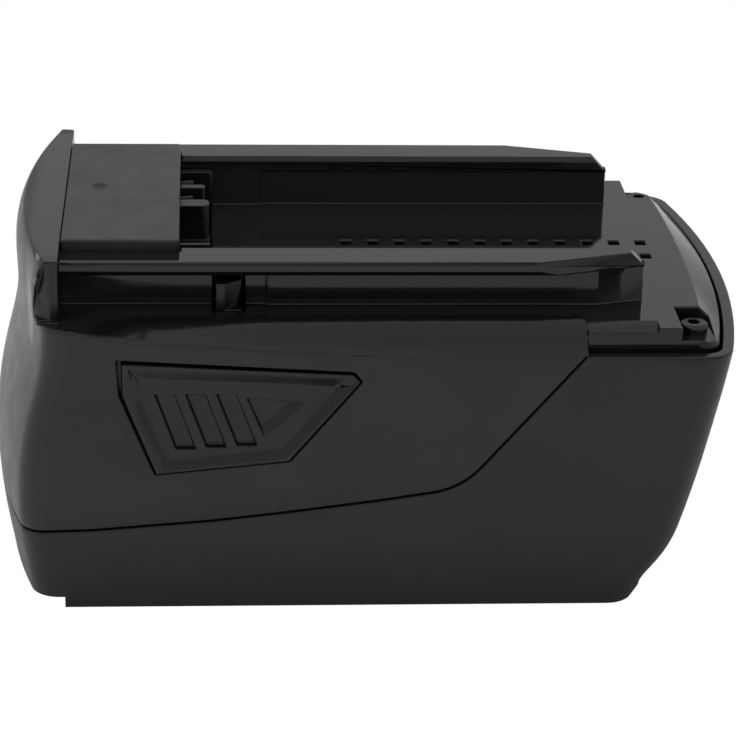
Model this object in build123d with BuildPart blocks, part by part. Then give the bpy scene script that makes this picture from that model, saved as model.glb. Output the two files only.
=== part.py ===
from build123d import *
from math import sqrt
import os

os.makedirs("parts", exist_ok=True)

# Rechargeable battery pack for a power tool, in millimetres.
# X runs along the pack, from the end plate (-X) to the nose (+X). Z is up.
# The origin is the middle of the foot that the pack stands on.

# Body: how far it reaches to the rear and to the nose, and its half width, at rising heights
BODY_PROFILE = (
    (2.0, 62.8, 50.7, 38.3),
    (6.9, 63.65, 53.65, 38.5),
    (11.8, 64.4, 56.3, 38.7),
    (16.8, 64.85, 57.8, 38.9),
    (21.7, 64.95, 59.05, 39.05),
    (26.7, 64.65, 60.2, 39.2),
    (31.7, 63.9, 61.25, 39.3),
    (36.7, 62.7, 62.25, 39.4),
    (41.7, 61.5, 63.2, 39.45),
    (46.7, 60.75, 64.0, 39.5),
    (51.6, 60.7, 64.8, 39.5),
    (56.5, 60.8, 65.6, 39.5),
    (61.4, 59.2, 66.4, 39.5),
)
REAR_RADIUS = 122.0
NOSE_RADIUS = 160.0
CORNER_RADIUS = 5.0
SMALLEST_CORNER = 1.5
WALL = 2.0
SEAM_GAP = 0.35
LAP_HEIGHT = 1.5
LAP_Z = (5.0, 42.7)
LAP_DEPTH = 0.9

# Planes well outside the pack, for trimming: along it, across it and below it
FAR = 70.0
WIDE = 45.0
ACROSS = (-WIDE, WIDE)
BELOW = -5.0

# Foot and heel
HEEL_HEIGHT = 2.0
FLOOR_TOP = 4.0
FOOT_REAR = 52.0
FOOT_NOSE = 49.5
FOOT_HALF_WIDTH = 38.2
POCKET_FLOOR = 2.2
POCKET_SIZE = (20.0, 32.0)
POCKET_PITCH = (22.5, 34.5)
POCKET_MIDDLE_X = -7.0
LABEL_RECESS = (70.0, 50.0, 0.4)
LABEL_CORNER = 3.0

# Seam between the two housings, seen from the side
SEAM_POINTS = ((-FAR, 14.0), (-47.0, 14.7), (-27.0, 16.4), (-14.0, 18.0), (1.2, 20.1))
SEAM_CORNER = (14.91, 22.34)
SEAM_CORNER_LEAN = 0.2
SEAM_BEND = 13.0
SEAM_TOP_X = 34.9
RIM_HEIGHT = 46.7

# Deck and shoulders
DECK_HEIGHT = 50.7
DECK_THICKNESS = 2.2
DECK_CREASE = 56.2
DECK_CREASE_RADIUS = 400.0
INSERT_START = 31.0
INSERT_REAR = 60.0
INSERT_WALL = 1.6
INSERT_CORNER = CORNER_RADIUS - INSERT_WALL
INSERT_HALF_WIDTH = 36.6
INSERT_STAGES = ((43.5, 60.9), (46.9, 61.55))
INSERT_HOLLOW_X = (31.0, 50.0)
LEDGE_HEIGHT = 45.9
LEDGE_HALF_WIDTH = 37.25
SIDE_BEVEL_X = (35.2, 47.0)
SIDE_BEVEL = ((33.2, 50.7), (37.6, 49.5), (37.6, 51.5), (33.2, 51.5))
CHEEK_BEVEL_X = (30.5, 35.2)
CHEEK_BEVEL = ((30.8, 50.7), (37.6, 48.4), (37.6, 51.5), (30.8, 51.5))
SHOULDER_FLAT = 29.0
SHOULDER_KNEE = 36.3
CHEEK_END = 35.2
SHOULDER_EDGES = (
    (-70.0, 52.4),
    (-56.6, 52.4),
    (-40.4, 49.3),
    (-27.4, 48.8),
    (-20.0, 48.0),
    (2.2, 46.9),
    (36.0, 46.7),
)

# End plate that the tool's foot slides up against
PLATE_FACE = -52.2
PLATE_TOP = 61.4
PLATE_HALF_LENGTH = 34.0
PLATE_HOLLOW = (-54.3, 31.0, 59.2)
PLATE_CORNER_TOP = ((-54.2, -34.1), (-54.4, -33.9), (-54.5, -34.2))
PLATE_CORNER_FOOT = ((-53.3, -34.2), (-56.9, -31.4), (-58.0, -35.0))
PLATE_FOOT_HEIGHT = 51.2
PLATE_ROOT = 47.0

# Rails
RAIL_INNER = 22.8
RAIL_OUTER = 26.2
RAIL_LIP = 30.4
RAIL_TOP = 59.9
LIP_UNDERSIDE = 57.2
LIP_CHAMFER = 1.0
LIP_EDGE = 0.4
RAIL_INNER_EDGE = 0.7
RAIL_BITE = 0.5
RAIL_END = 46.0
TAPER_START = 27.0
TAPER_END_LIP = 25.0
WALL_TAPER_START = 38.0
WALL_TAPER_END = 24.0
RAIL_STEP_X = -17.9
RAIL_STEP_DEPTH = 0.4
RAIL_END_CHAMFER = 2.6
RAIL_ROOT = 49.0

# Cover over the contacts
COVER_REAR = -52.1
COVER_FRONT = -32.4
COVER_HALF_WIDTH = 24.9
COVER_TOP = 61.8
COVER_THICKNESS = 2.6
COVER_SEAT = COVER_TOP - COVER_THICKNESS
DIMPLE_X = -46.4
DIMPLE_Y = 1.6
DIMPLE_BALL = 2.6
DIMPLE_DEPTH = 0.5
COVER_CORNER = 0.6
COVER_EDGE = 0.4
COVER_PLAY = 0.1
COVER_RIBS = (-50.0, -36.0)
COVER_RIB_HALF = 19.0
COVER_RIB_THICKNESS = 1.2

# Vent holes in the deck
VENT_START = -3.0
VENT_PITCH = 4.8
VENT_COUNT = 12
VENT_ROW_Y = 3.3
VENT_LENGTH = 1.7
VENT_WIDTH = 2.1
VENT_DEPTH = 4.0

# Housing screws
NOSE_SCREW = (53.8, 30.8)
NOSE_SCREW_SEAT = 47.9
NOSE_SCREW_LENGTH = 10.0
NOSE_BOSS_TOP = 45.6
NOSE_BOSS_FOOT = 30.0
SCREW_POCKET_X = (51.1, 57.0)
SCREW_POCKET_Y = (27.1, 36.0)
SCREW_POCKET_SILL = 48.3
SCREW_PAD_X = (49.9, 58.8)
SCREW_PAD_Y = (25.6, 37.0)
HEEL_SCREW = (-57.2, 20.0)
HEEL_SCREW_SEAT = 4.4
HEEL_SCREW_LENGTH = 18.0
HEEL_BOSS_TOP = 13.0
SCREW_SHANK = 1.25
SCREW_HEAD = 2.4
SCREW_HEAD_HEIGHT = 1.6
SCREW_HEAD_EDGE = 0.6
SCREW_PLAY = 0.3
STAR_RADIUS = 1.15
STAR_WAIST = 0.75
STAR_DEPTH = 1.0
THREAD_PLAY = 0.02
BOSS_RADIUS = 3.0
HEEL_POST_RADIUS = 2.5
HEEL_POST_PLAY = 0.1

# Cells: two layers of five, lying across the pack
CELL_RADIUS = 9.2
CELL_HALF_LENGTH = 32.6
CELL_PITCH_X = 19.6
CELL_FIRST_X = -43.2
CELL_COLUMNS = 5
CELL_HEIGHTS = (14.4, 33.4)
CELL_NUB_RADIUS = 3.6
CELL_NUB_HEIGHT = 0.5
CELL_GROOVE = (3.0, 0.7, 0.5)
CELL_EDGE = 0.5
HOLDER_DEPTH = 12.0
HOLDER_BOTTOM = 4.3
HOLDER_TOP = 43.6
HOLDER_REAR = -53.6
HOLDER_FRONT = 45.6
HOLDER_CORNERS = (2.0, 5.5)
HOLDER_PLAY = 0.05
BOARD_BOSS = (2.6, 40.4, 0.4)
BOARD_SCREW_HOLE = 0.8

# Rubber dampers behind the cell holders
DAMPER_Y = (24.5, 31.0)
DAMPER_Z = (16.0, 32.0)

# Connecting strips and insulation
STRIP_THICKNESS = 0.3
STRIP_HALF_WIDTH = 4.5
STRIP_Z = (9.0, 38.6)
STRIP_WINDOW_Z = (19.6, 28.2)
STRIP_WINDOW_LENGTH = 9.0
STRIP_SLOT = (0.8, 4.0)
STRIP_TAB_HALF = 2.5
STRIP_TAB_END = 21.4
SHEET_INNER = 33.0
SHEET_THICKNESS = 0.25
SHEET_X = (-52.0, 44.5)
SHEET_Z = (6.0, 42.8)
SHEET_CORNER = 4.0
SHEET_HOLE_MARGIN = 0.3

# Circuit board
BOARD_BOTTOM = 44.0
BOARD_TOP = 45.6
BOARD_REAR = -51.0
BOARD_FRONT = 33.0
BOARD_HALF_WIDTH = 22.4
BOARD_SCREW_X = (-33.4, 25.4)
BOARD_SCREW_Y = 18.6
BOARD_CORNER = 1.5
BOARD_HOLE = 1.1
BOARD_SCREW_HEAD = (1.8, 1.2)
BOARD_SCREW_SHANK = (0.75, 4.8)
BEAD_HEIGHT = 39.6
BEAD_RADIUS = 1.2
LEAD_RADIUS = 0.25
LEAD_Y = 0.6

# Release buttons, seen from the near side as (x, z): opening, plate, its dish and the dish's floor
BUTTON_OUTLINE = ((-42.8, 46.2), (-42.4, 39.9), (-36.6, 25.3), (-14.0, 27.7), (-2.2, 42.3), (-3.6, 44.0))
BUTTON_PLATE = ((-41.9, 45.45), (-41.8, 39.8), (-36.35, 25.5), (-14.15, 27.9), (-2.55, 42.25), (-3.8, 43.6))
BUTTON_DISH = ((-41.0, 45.15), (-40.9, 39.6), (-35.7, 25.9), (-14.5, 28.2), (-3.2, 42.1), (-4.1, 43.3))
BUTTON_FACE = ((-39.1, 42.3), (-38.9, 39.2), (-34.2, 27.3), (-15.2, 29.5), (-6.4, 40.4), (-7.0, 41.0))
BUTTON_FLANGE = ((-44.0, 45.4), (-43.7, 39.6), (-37.6, 23.9), (-13.3, 26.4), (-0.8, 42.0), (-3.0, 43.4))
BUTTON_BACK = 36.0
BUTTON_FLANGE_FRONT = 36.95
BUTTON_DISH_DEPTH = 39.6
BUTTON_FACE_DEPTH = 38.0
BUTTON_TRAVEL = 2.4
GRIP_DEPTH = 1.2
GRIP_DRAFT = 10.0
GRIP_START = (-36.6, 39.5)
GRIP_PITCH = 5.1
GRIP_WIDTH = 3.4
GRIP_DROP = 10.0
GRIP_SHORTENING = 0.3
GRIP_LEAN = 3.5
GRIP_COUNT = 3
GRIP_TRIANGLE = ((-21.3, 38.8), (-11.4, 38.0), (-18.3, 31.6))
GRIP_TRIANGLE_FLOOR = ((-21.0, 38.4), (-14.2, 37.9), (-18.9, 33.5))

# Latch hook and its arm
HOOK_REAR = -26.4
HOOK_FRONT = -22.0
HOOK_TOP = 55.6
HOOK_OUT = 29.0
HOOK_IN = 26.4
ARM_PROFILE = (
    (-36.95, 36.0),
    (-36.95, 45.0),
    (-35.3, 46.9),
    (-HOOK_OUT, 46.9),
    (-HOOK_OUT, HOOK_TOP),
    (-HOOK_IN, HOOK_TOP),
    (-HOOK_IN, 45.8),
    (-34.9, 45.8),
    (-36.0, 44.5),
    (-36.0, 36.0),
)
HOOK_RAMP = 2.9
HOOK_RAMP_FOOT = 51.0
HOOK_POINT = 0.2
SLOT_PLAY = 0.4
SLOT_ROOT = 45.0

# Button springs
SPRING_X = (-33.4, -13.8)
SPRING_Z = 23.9
SPRING_RADIUS = 1.9
SPRING_WIRE = 0.45
SPRING_TURNS = 6
SPRING_SEAT = 27.5
SPRING_POCKET = 2.6
EAR_RADIUS = 2.8
EAR_HEIGHT = 6.0
SPIGOT_RADIUS = 1.2
SPIGOT_LENGTH = 1.2

# Contacts and their block: middle, half thickness and front end of each fin
FINS = (
    (-21.6, 0.6, -27.2),
    (-15.75, 0.4, -27.2),
    (4.6, 1.7, -27.3),
    (13.2, 0.9, -28.0),
    (21.6, 0.9, -26.6),
)
FIN_ROUNDING = 0.7
BLOCK_REAR = -51.8
BLOCK_FRONT = -27.2
BLOCK_TOP = 57.7
BLOCK_HALF_WIDTH = 22.5
BLOCK_FLOOR = 51.2
BLOCK_BACK_WALL = 1.5
BLOCK_FLANGE_Z = (47.2, 48.4)
BLOCK_FLANGE_MARGIN = 1.2
BLOCK_PLAY = 0.2
BLOCK_TAIL = 0.2
PEG_X = (-50.5, -28.5)
PEG_Y = 21.0
PEG_RADIUS = 0.9
CONTACT_TAIL_X = -47.0
CONTACT_TAIL = (0.4, 2.1)
CONTACT_LEAF = ((-49.0, 1.9), (-43.5, 1.9), (-33.4, 0.75), (-30.2, 1.7))
CONTACT_THICKNESS = 0.6
CONTACT_Z = (51.4, 56.6)
CONTACT_Y = {"terminal_plus": 17.4, "terminal_data": 9.3, "terminal_minus": -18.6}

# Charge indicator in the rear wall
LENS_HEIGHT = 25.0
LENS_HALF_LENGTH = 12.0
LENS_HALF_HEIGHT = 1.9
LENS_RECESS = 0.4
LENS_FLANGE = 1.2
LENS_PLAY = 0.15
LENS_BACK = -60.0
LED_SPACING = 6.0
LED_COUNT = 4
LED_SIZE = (2.4, 1.6, 0.7)
LED_BOARD_X = (-59.2, -58.2)
LED_BOARD_SIZE = (28.0, 12.0, 1.0)
RIBBON_THICKNESS = 0.5
RIBBON_HALF_WIDTH = 3.5
RIBBON_BEND = 3.0
RIBBON_START = (-57.9, 25.0)
RIBBON_END = (-50.7, 46.3)


def bow(half_width, radius):
    """How far an end arc stands out past its corners."""
    return radius - sqrt(radius**2 - half_width**2)


def plan_face(height, rear, nose, half_width, corner, nose_radius=NOSE_RADIUS):
    """Plan outline at one height: straight sides, both ends bowed outwards."""
    rear_corner = -rear + bow(half_width, REAR_RADIUS)
    nose_corner = nose - bow(half_width, nose_radius)
    with BuildSketch(Plane.XY.offset(height)) as outline:
        with BuildLine():
            Line((rear_corner, -half_width), (nose_corner, -half_width))
            ThreePointArc((nose_corner, -half_width), (nose, 0), (nose_corner, half_width))
            Line((nose_corner, half_width), (rear_corner, half_width))
            ThreePointArc((rear_corner, half_width), (-rear, 0), (rear_corner, -half_width))
        make_face()
        fillet(outline.vertices(), corner)
    return outline.sketch


def body_shape(inset=0.0):
    """The whole outer shape of the pack, moved inwards by inset."""
    corner = max(CORNER_RADIUS - inset, SMALLEST_CORNER)
    with BuildPart() as shape:
        for height, rear, nose, half_width in BODY_PROFILE:
            add(plan_face(height, rear - inset, nose - inset, half_width - inset, corner))
        loft()
    return shape.part


def side_prism(points):
    """A side-view outline (x, z) carried across the pack."""
    with BuildPart() as prism:
        with BuildSketch(Plane.XZ):
            with BuildLine():
                Polyline(*points, close=True)
            make_face()
        extrude(amount=WIDE, both=True)
    return prism.part


def below_seam(shift=0.0):
    """Everything that belongs to the lower housing, its seam moved up by shift."""
    seam = [(x, z + shift) for x, z in SEAM_POINTS]
    corner = (SEAM_CORNER[0] - SEAM_CORNER_LEAN * shift, SEAM_CORNER[1] + shift)
    rise = (SEAM_TOP_X - shift, RIM_HEIGHT)
    with BuildPart() as prism:
        with BuildSketch(Plane.XZ) as outline:
            with BuildLine():
                Polyline(*seam, corner, rise, (FAR, RIM_HEIGHT), (FAR, BELOW), (-FAR, BELOW), close=True)
            make_face()
            fillet(outline.vertices().sort_by_distance(corner)[0], SEAM_BEND)
        extrude(amount=WIDE, both=True)
    return prism.part


def shoulder_section(station, edge, drop):
    """Cross-section at one station: flat deck, rounding down to the side edge."""
    reach = 42.0
    deck = DECK_HEIGHT - drop
    edge = edge - drop
    knee = edge + 0.62 * (deck - edge)
    past = edge - 0.35 * (knee - edge) if edge < deck else edge
    with BuildSketch(Plane.YZ.offset(station)) as section:
        with BuildLine():
            Line((SHOULDER_FLAT, deck), (-SHOULDER_FLAT, deck))
            Spline((-SHOULDER_FLAT, deck), (-SHOULDER_KNEE, knee), (-39.4, edge), (-reach, past))
            Polyline((-reach, past), (-reach, BELOW), (reach, BELOW), (reach, past))
            Spline((reach, past), (39.4, edge), (SHOULDER_KNEE, knee), (SHOULDER_FLAT, deck))
        make_face()
    return section.sketch


def below_shoulder(drop=0.0):
    """Everything below the deck and its shoulders, lowered by drop."""
    with BuildPart() as region:
        for station, edge in SHOULDER_EDGES:
            add(shoulder_section(station, edge, drop))
        loft(ruled=True)
    return region.part


def block(x_range, y_range, z_range):
    """A plain box from its ranges."""
    with BuildPart() as box:
        with BuildSketch(Plane.XY.offset(z_range[0])):
            with Locations(((x_range[0] + x_range[1]) / 2, (y_range[0] + y_range[1]) / 2)):
                Rectangle(x_range[1] - x_range[0], y_range[1] - y_range[0])
        extrude(amount=z_range[1] - z_range[0])
    return box.part


def upright(x, y, radius, bottom, top):
    """A plain cylinder along Z."""
    with BuildPart() as pin:
        with BuildSketch(Plane.XY.offset(bottom)):
            with Locations((x, y)):
                Circle(radius)
        extrude(amount=top - bottom)
    return pin.part


def save(shape, name):
    """Labels a finished piece and writes it."""
    shape.label = name
    export_step(shape, f"parts/{name}.step")


outer = body_shape()
lined = body_shape(WALL)
cell_stations = [CELL_FIRST_X + CELL_PITCH_X * i for i in range(CELL_COLUMNS)]
sides = (-1, 1)

# Ring from which the lap joint is cut: a thin lip of the lower housing stands behind the upper one
with BuildPart() as lap_ring:
    add(body_shape(WALL - LAP_DEPTH))
    add(lined, mode=Mode.SUBTRACT)
    lap_x = (-FAR, SEAM_TOP_X - LAP_HEIGHT)
    add(block(lap_x, ACROSS, LAP_Z), mode=Mode.INTERSECT)

# Foot pad: the flat that the pack stands on, below the heel
with BuildPart() as foot:
    for height, rear, nose, half_width in ((0, FOOT_REAR, FOOT_NOSE, FOOT_HALF_WIDTH), BODY_PROFILE[0]):
        add(plan_face(height, BODY_PROFILE[0][1], nose, half_width, CORNER_RADIUS))
    loft(ruled=True)
    add(block((-FAR, -FOOT_REAR), ACROSS, (BELOW, HEEL_HEIGHT)), mode=Mode.SUBTRACT)

# Space inside the tub
with BuildPart() as tub_inside:
    add(lined)
    add(block((-FAR, FAR), ACROSS, (FLOOR_TOP, FAR)), mode=Mode.INTERSECT)

# Screw bosses that stand in the tub: two in the nose, two in the heel
with BuildPart() as tub_bosses:
    for side in sides:
        add(upright(NOSE_SCREW[0], side * NOSE_SCREW[1], BOSS_RADIUS, NOSE_BOSS_FOOT, NOSE_BOSS_TOP))
        add(upright(HEEL_SCREW[0], side * HEEL_SCREW[1], BOSS_RADIUS, HEEL_HEIGHT, HEEL_BOSS_TOP))
    add(outer, mode=Mode.INTERSECT)

# Lip of the lower housing that stands behind the upper one
with BuildPart() as lap_lip:
    add(lap_ring.part)
    add(below_seam(LAP_HEIGHT), mode=Mode.INTERSECT)

# Room for that lip in the upper housing
with BuildPart() as lap_rebate:
    add(lap_ring.part)
    add(below_seam(LAP_HEIGHT + SEAM_GAP), mode=Mode.INTERSECT)

# Lower housing: a tub whose nose end rises to a rim all round the deck
with BuildPart() as lower_housing:
    add(outer)
    add(below_seam(), mode=Mode.INTERSECT)
    add(foot.part)
    add(tub_inside.part, mode=Mode.SUBTRACT)
    with BuildSketch(Plane.XY.offset(POCKET_FLOOR)):
        with Locations((POCKET_MIDDLE_X, 0)):
            with GridLocations(*POCKET_PITCH, 4, 2):
                Rectangle(*POCKET_SIZE)
    extrude(amount=FLOOR_TOP - POCKET_FLOOR, mode=Mode.SUBTRACT)
    with BuildSketch():
        with Locations((POCKET_MIDDLE_X, 0)):
            RectangleRounded(LABEL_RECESS[0], LABEL_RECESS[1], LABEL_CORNER)
    extrude(amount=LABEL_RECESS[2], mode=Mode.SUBTRACT)
    add(lap_lip.part)
    add(tub_bosses.part)
    for side in sides:
        nose_y, heel_y = side * NOSE_SCREW[1], side * HEEL_SCREW[1]
        pilot_foot = NOSE_SCREW_SEAT - NOSE_SCREW_LENGTH - 1
        add(upright(NOSE_SCREW[0], nose_y, SCREW_SHANK, pilot_foot, FAR), mode=Mode.SUBTRACT)
        heel_hole = upright(HEEL_SCREW[0], heel_y, SCREW_SHANK + SCREW_PLAY, BELOW, HEEL_BOSS_TOP)
        add(heel_hole, mode=Mode.SUBTRACT)
        head_room = upright(HEEL_SCREW[0], heel_y, SCREW_HEAD + SCREW_PLAY, BELOW, HEEL_SCREW_SEAT)
        add(head_room, mode=Mode.SUBTRACT)
save(lower_housing.part, "lower_housing")

# Facets that cut the end plate's two outer corners away downwards
with BuildPart() as corner_cut:
    for height, corners in ((PLATE_FOOT_HEIGHT, PLATE_CORNER_FOOT), (PLATE_TOP, PLATE_CORNER_TOP)):
        with BuildSketch(Plane.XY.offset(height)):
            Polygon(*corners, align=None)
    loft(ruled=True)
    mirror(about=Plane.XZ)

# End plate: rises from the rear wall to the height of the contact cover
with BuildPart() as end_plate:
    add(outer)
    plate_y = (-PLATE_HALF_LENGTH, PLATE_HALF_LENGTH)
    add(block((-FAR, PLATE_FACE), plate_y, (PLATE_ROOT, PLATE_TOP)), mode=Mode.INTERSECT)
    add(corner_cut.part, mode=Mode.SUBTRACT)


def rail(side):
    """One rail: a wall with a lip at its top that points outwards, tapered in at the nose end."""
    lip_low, lip_high = RAIL_LIP - LIP_CHAMFER, RAIL_LIP - LIP_EDGE
    with BuildPart() as shape:
        with BuildSketch(Plane.YZ.offset(PLATE_FACE - RAIL_BITE)):
            with BuildLine():
                Polyline(
                    (RAIL_INNER, RAIL_ROOT),
                    (RAIL_INNER, RAIL_TOP - RAIL_INNER_EDGE),
                    (RAIL_INNER + RAIL_INNER_EDGE, RAIL_TOP),
                    (lip_high, RAIL_TOP),
                    (RAIL_LIP, RAIL_TOP - LIP_EDGE),
                    (RAIL_LIP, LIP_UNDERSIDE + LIP_CHAMFER),
                    (lip_low, LIP_UNDERSIDE),
                    (RAIL_OUTER, LIP_UNDERSIDE),
                    (RAIL_OUTER, RAIL_ROOT),
                    close=True,
                )
            make_face()
        extrude(amount=RAIL_END - PLATE_FACE + RAIL_BITE)
        with BuildSketch(Plane.XY.offset(RAIL_ROOT)):
            Polygon(
                (TAPER_START, RAIL_LIP), (RAIL_END, TAPER_END_LIP), (RAIL_END, RAIL_LIP + 1), align=None
            )
        extrude(amount=FAR - RAIL_ROOT, mode=Mode.SUBTRACT)
        with BuildSketch(Plane.XY.offset(RAIL_ROOT)):
            Polygon(
                (WALL_TAPER_START, RAIL_OUTER), (RAIL_END, WALL_TAPER_END), (RAIL_END, RAIL_LIP), align=None
            )
        extrude(amount=LIP_UNDERSIDE - RAIL_ROOT, mode=Mode.SUBTRACT)
        with BuildSketch(Plane.XZ):
            high = (RAIL_END - RAIL_END_CHAMFER, RAIL_TOP)
            Polygon(high, (RAIL_END, RAIL_TOP - RAIL_END_CHAMFER), (RAIL_END + 1, RAIL_TOP + 1), align=None)
        extrude(amount=-WIDE, mode=Mode.SUBTRACT)
        inner_step = (RAIL_INNER, RAIL_INNER + RAIL_STEP_DEPTH)
        outer_step = (RAIL_OUTER - RAIL_STEP_DEPTH, RAIL_OUTER)
        add(block((RAIL_STEP_X, FAR), inner_step, (DECK_HEIGHT, LIP_UNDERSIDE)), mode=Mode.SUBTRACT)
        add(block((PLATE_FACE, RAIL_STEP_X), outer_step, (DECK_HEIGHT, LIP_UNDERSIDE)), mode=Mode.SUBTRACT)
        if side < 0:
            mirror(about=Plane.XZ, mode=Mode.REPLACE)
    return shape.part


def insert_shape(inset, drop):
    """The deck's nose end, which drops inside the rim: its edge slopes down all round the nose."""
    with BuildPart() as shape:
        half_width = INSERT_HALF_WIDTH - inset
        for height, reach in INSERT_STAGES:
            add(plan_face(height - drop, INSERT_REAR, reach - inset, half_width, INSERT_CORNER))
        crease = DECK_CREASE - inset
        radius = DECK_CREASE_RADIUS
        add(plan_face(DECK_HEIGHT - drop, INSERT_REAR, crease, half_width, INSERT_CORNER, radius))
        loft(ruled=True)
        add(block((-FAR, INSERT_START), ACROSS, (0, FAR)), mode=Mode.SUBTRACT)
    return shape.part


nose_insert = insert_shape(0, 0)

# Solid pads around the two nose screws
with BuildPart() as screw_pads:
    for side in sides:
        pad_y = sorted(side * y for y in SCREW_PAD_Y)
        add(block(SCREW_PAD_X, pad_y, (NOSE_BOSS_TOP, DECK_HEIGHT)))
    add(nose_insert, mode=Mode.INTERSECT)

# Bevels along both sides of the deck insert: steep beside the cheeks, shallow up to the screw pads
with BuildPart() as side_bevel:
    for span, section in ((CHEEK_BEVEL_X, CHEEK_BEVEL), (SIDE_BEVEL_X, SIDE_BEVEL)):
        with BuildSketch(Plane.YZ.offset(span[0])):
            Polygon(*section, align=None)
        extrude(amount=span[1] - span[0])
    mirror(about=Plane.XZ)

# Deck insert: the deck's nose end with its ledge, screw pockets and hollow underside
with BuildPart() as deck_insert:
    add(nose_insert)
    foot_height, foot_reach = INSERT_STAGES[0]
    add(plan_face(foot_height, INSERT_REAR, foot_reach, LEDGE_HALF_WIDTH, INSERT_CORNER))
    extrude(amount=LEDGE_HEIGHT - foot_height)
    add(block((-FAR, INSERT_START), ACROSS, (0, FAR)), mode=Mode.SUBTRACT)
    add(insert_shape(INSERT_WALL, DECK_THICKNESS), mode=Mode.SUBTRACT)
    hollow_y = (INSERT_WALL - INSERT_HALF_WIDTH, INSERT_HALF_WIDTH - INSERT_WALL)
    add(block(INSERT_HOLLOW_X, hollow_y, (0, DECK_HEIGHT - DECK_THICKNESS)), mode=Mode.SUBTRACT)
    add(screw_pads.part)
    add(side_bevel.part, mode=Mode.SUBTRACT)
    for side in sides:
        x, y = NOSE_SCREW[0], side * NOSE_SCREW[1]
        pocket_y = sorted(side * y for y in SCREW_POCKET_Y)
        sill_y = sorted((side * SCREW_POCKET_Y[1], side * WIDE))
        add(block(SCREW_POCKET_X, pocket_y, (NOSE_SCREW_SEAT, FAR)), mode=Mode.SUBTRACT)
        add(block(SCREW_POCKET_X, sill_y, (SCREW_POCKET_SILL, FAR)), mode=Mode.SUBTRACT)
        add(upright(x, y, SCREW_SHANK + SCREW_PLAY, 0, FAR), mode=Mode.SUBTRACT)
        add(upright(x, y, BOSS_RADIUS + SCREW_PLAY, 0, NOSE_BOSS_TOP), mode=Mode.SUBTRACT)

# Hollow of the end plate, open from below
with BuildPart() as plate_hollow:
    hollow_face, hollow_half, hollow_top = PLATE_HOLLOW
    add(lined)
    hollow_y = (-hollow_half, hollow_half)
    add(block((-FAR, hollow_face), hollow_y, (RAIL_ROOT, hollow_top)), mode=Mode.INTERSECT)

# Space inside the upper housing, under its shoulders and inside its end plate
with BuildPart() as cover_inside:
    add(lined)
    add(below_shoulder(DECK_THICKNESS), mode=Mode.INTERSECT)
    add(plate_hollow.part)

# Posts that come down on the heel bosses and take the heel screws
with BuildPart() as heel_posts:
    for side in sides:
        post_foot = HEEL_BOSS_TOP + HEEL_POST_PLAY
        add(upright(HEEL_SCREW[0], side * HEEL_SCREW[1], HEEL_POST_RADIUS, post_foot, DECK_HEIGHT))
    add(outer, mode=Mode.INTERSECT)

# Upper housing: cheeks, shoulders, deck, end plate and rails in one moulding
with BuildPart() as upper_housing:
    add(outer)
    add(below_shoulder(), mode=Mode.INTERSECT)
    add(end_plate.part)
    add(below_seam(SEAM_GAP), mode=Mode.SUBTRACT)
    add(block((CHEEK_END, FAR), ACROSS, (0, FAR)), mode=Mode.SUBTRACT)
    add(cover_inside.part, mode=Mode.SUBTRACT)
    add(lap_rebate.part, mode=Mode.SUBTRACT)
    add(deck_insert.part)
    for side in sides:
        add(rail(side))
    add(heel_posts.part)
    for side in sides:
        heel_y = side * HEEL_SCREW[1]
        pilot_top = HEEL_SCREW_SEAT + HEEL_SCREW_LENGTH + 1
        add(upright(HEEL_SCREW[0], heel_y, SCREW_SHANK, 0, pilot_top), mode=Mode.SUBTRACT)
        slot_y = sorted((side * (HOOK_OUT + SLOT_PLAY), side * (HOOK_IN - BUTTON_TRAVEL - SLOT_PLAY)))
        slot_x = (HOOK_REAR - SLOT_PLAY, HOOK_FRONT + SLOT_PLAY)
        add(block(slot_x, slot_y, (SLOT_ROOT, HOOK_TOP + SLOT_PLAY)), mode=Mode.SUBTRACT)
    add(side_prism(BUTTON_OUTLINE), mode=Mode.SUBTRACT)
    opening_y = BLOCK_HALF_WIDTH + BLOCK_PLAY
    opening_x = (BLOCK_REAR - BLOCK_PLAY, BLOCK_FRONT + BLOCK_PLAY)
    opening_z = (BOARD_TOP, DECK_HEIGHT + 1)
    add(block(opening_x, (-opening_y, opening_y), opening_z), mode=Mode.SUBTRACT)
    seat_x = (PLATE_FACE, COVER_FRONT + COVER_PLAY)
    seat_y = (-COVER_HALF_WIDTH - COVER_PLAY, COVER_HALF_WIDTH + COVER_PLAY)
    add(block(seat_x, seat_y, (COVER_SEAT, FAR)), mode=Mode.SUBTRACT)
    lens_z = (LENS_HEIGHT - LENS_HALF_HEIGHT, LENS_HEIGHT + LENS_HALF_HEIGHT)
    lens_y = (-LENS_HALF_LENGTH, LENS_HALF_LENGTH)
    add(block((-FAR, LENS_BACK), lens_y, lens_z), mode=Mode.SUBTRACT)
    with BuildSketch(Plane.XY.offset(DECK_HEIGHT)):
        with Locations((VENT_START + VENT_PITCH * (VENT_COUNT - 1) / 2, 0)):
            with GridLocations(VENT_PITCH, 2 * VENT_ROW_Y, VENT_COUNT, 2):
                Rectangle(VENT_LENGTH, VENT_WIDTH)
    extrude(amount=-VENT_DEPTH, mode=Mode.SUBTRACT)
save(upper_housing.part, "upper_housing")

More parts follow.
